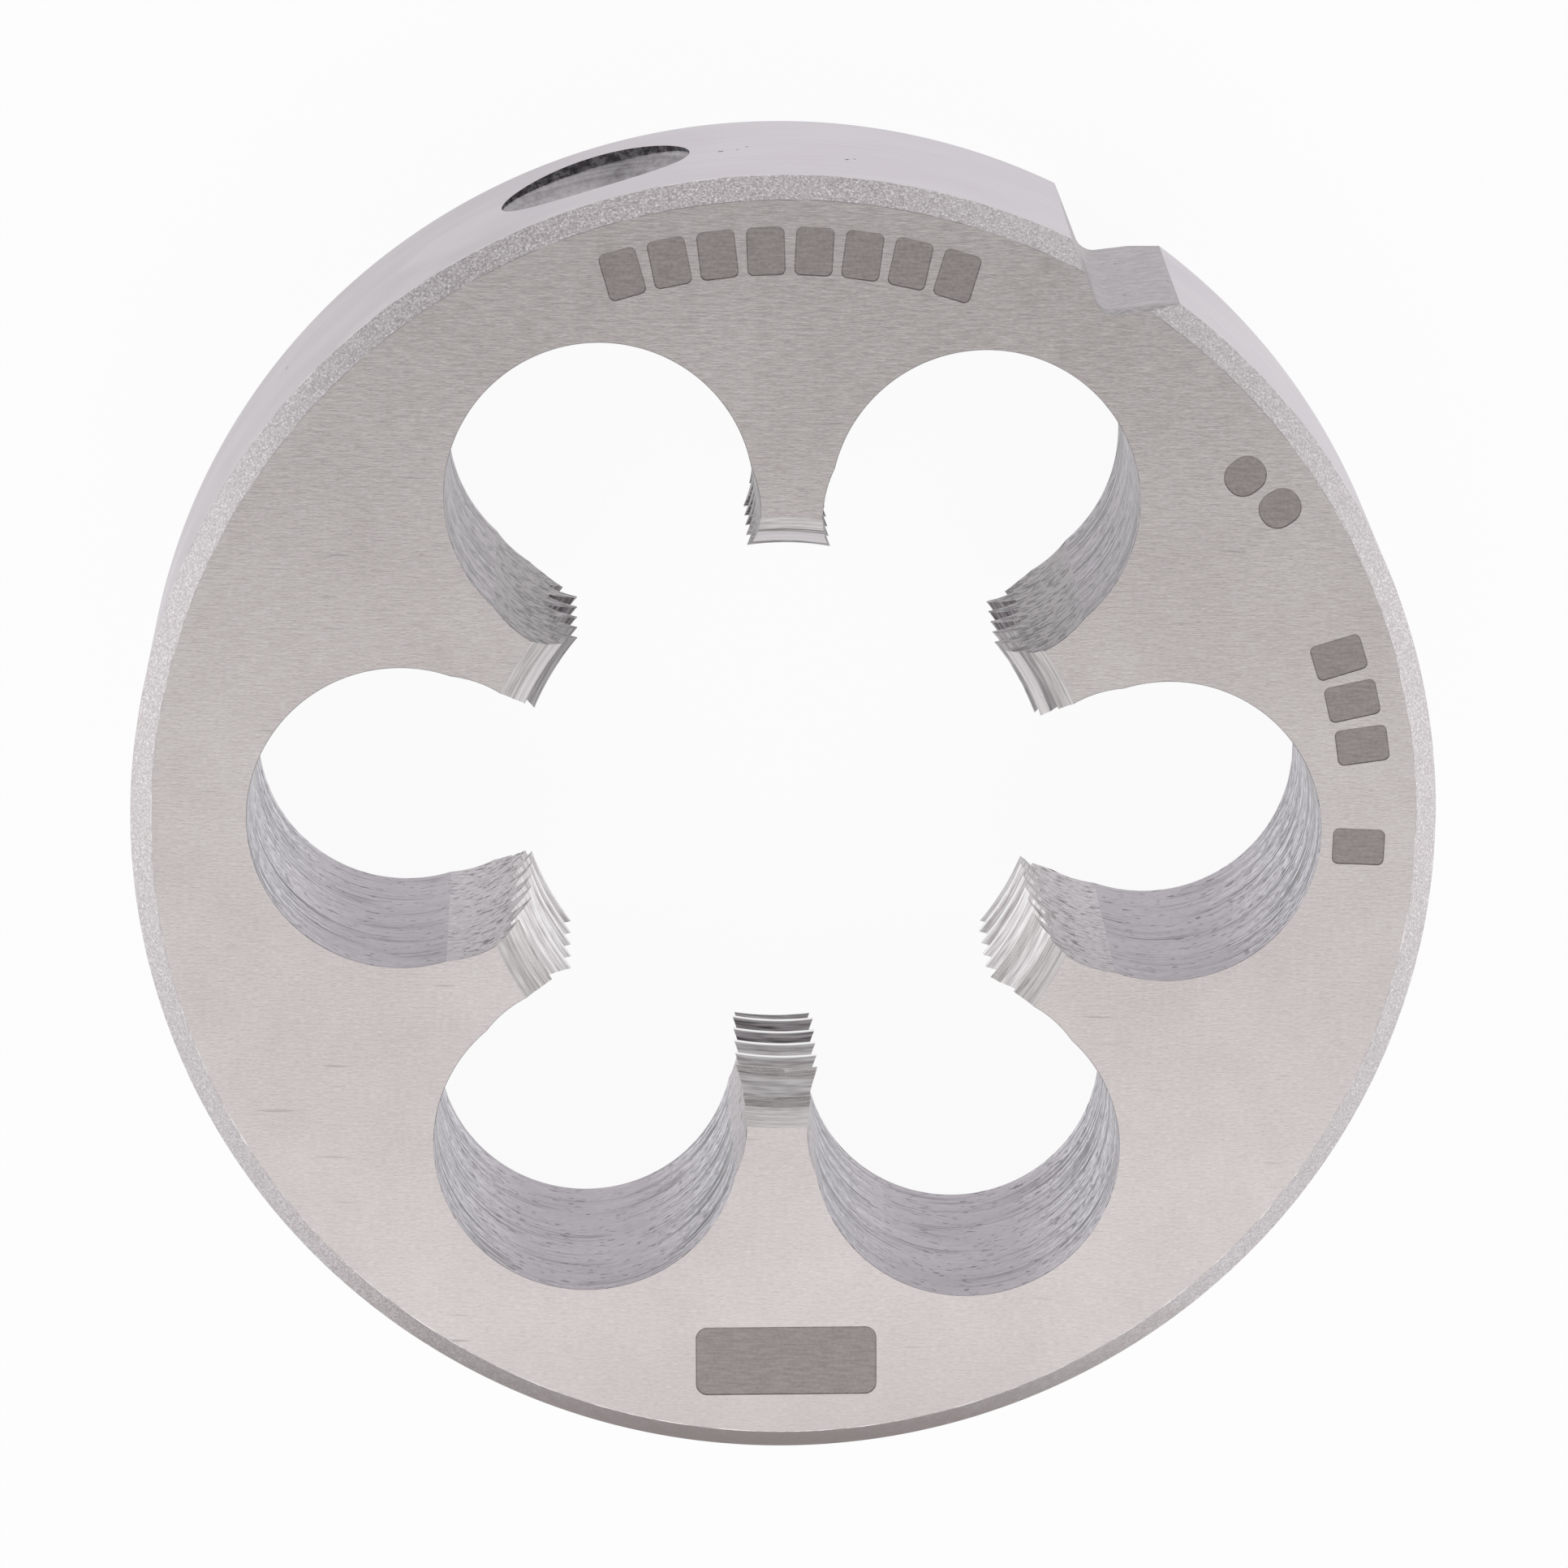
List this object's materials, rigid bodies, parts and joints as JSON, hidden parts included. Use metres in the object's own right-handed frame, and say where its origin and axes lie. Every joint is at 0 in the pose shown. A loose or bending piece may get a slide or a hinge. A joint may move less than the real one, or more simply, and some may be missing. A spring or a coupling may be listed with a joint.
{
  "type": "round threading die",
  "caption": "Round steel die that cuts an outside thread on a rod, with threaded lands between chip flutes, a lead at each face, and a notch and dimples in its rim.",
  "frame": {"origin": "on the die's axis, in the plane of its back face, on which it lies", "axes": "+Z along the axis, from the back face to the front face; +X through the middle of one flute; the rim's notch is at 60 degrees, counted from +X towards +Y"},
  "size_m": [0.055, 0.055, 0.016],
  "materials": {
    "die_body": "fine-ground faces, turned rim, grainy chamfers"
  },
  "bodies": {
    "root": {"die_body": "die_body"}
  },
  "joints": []
}
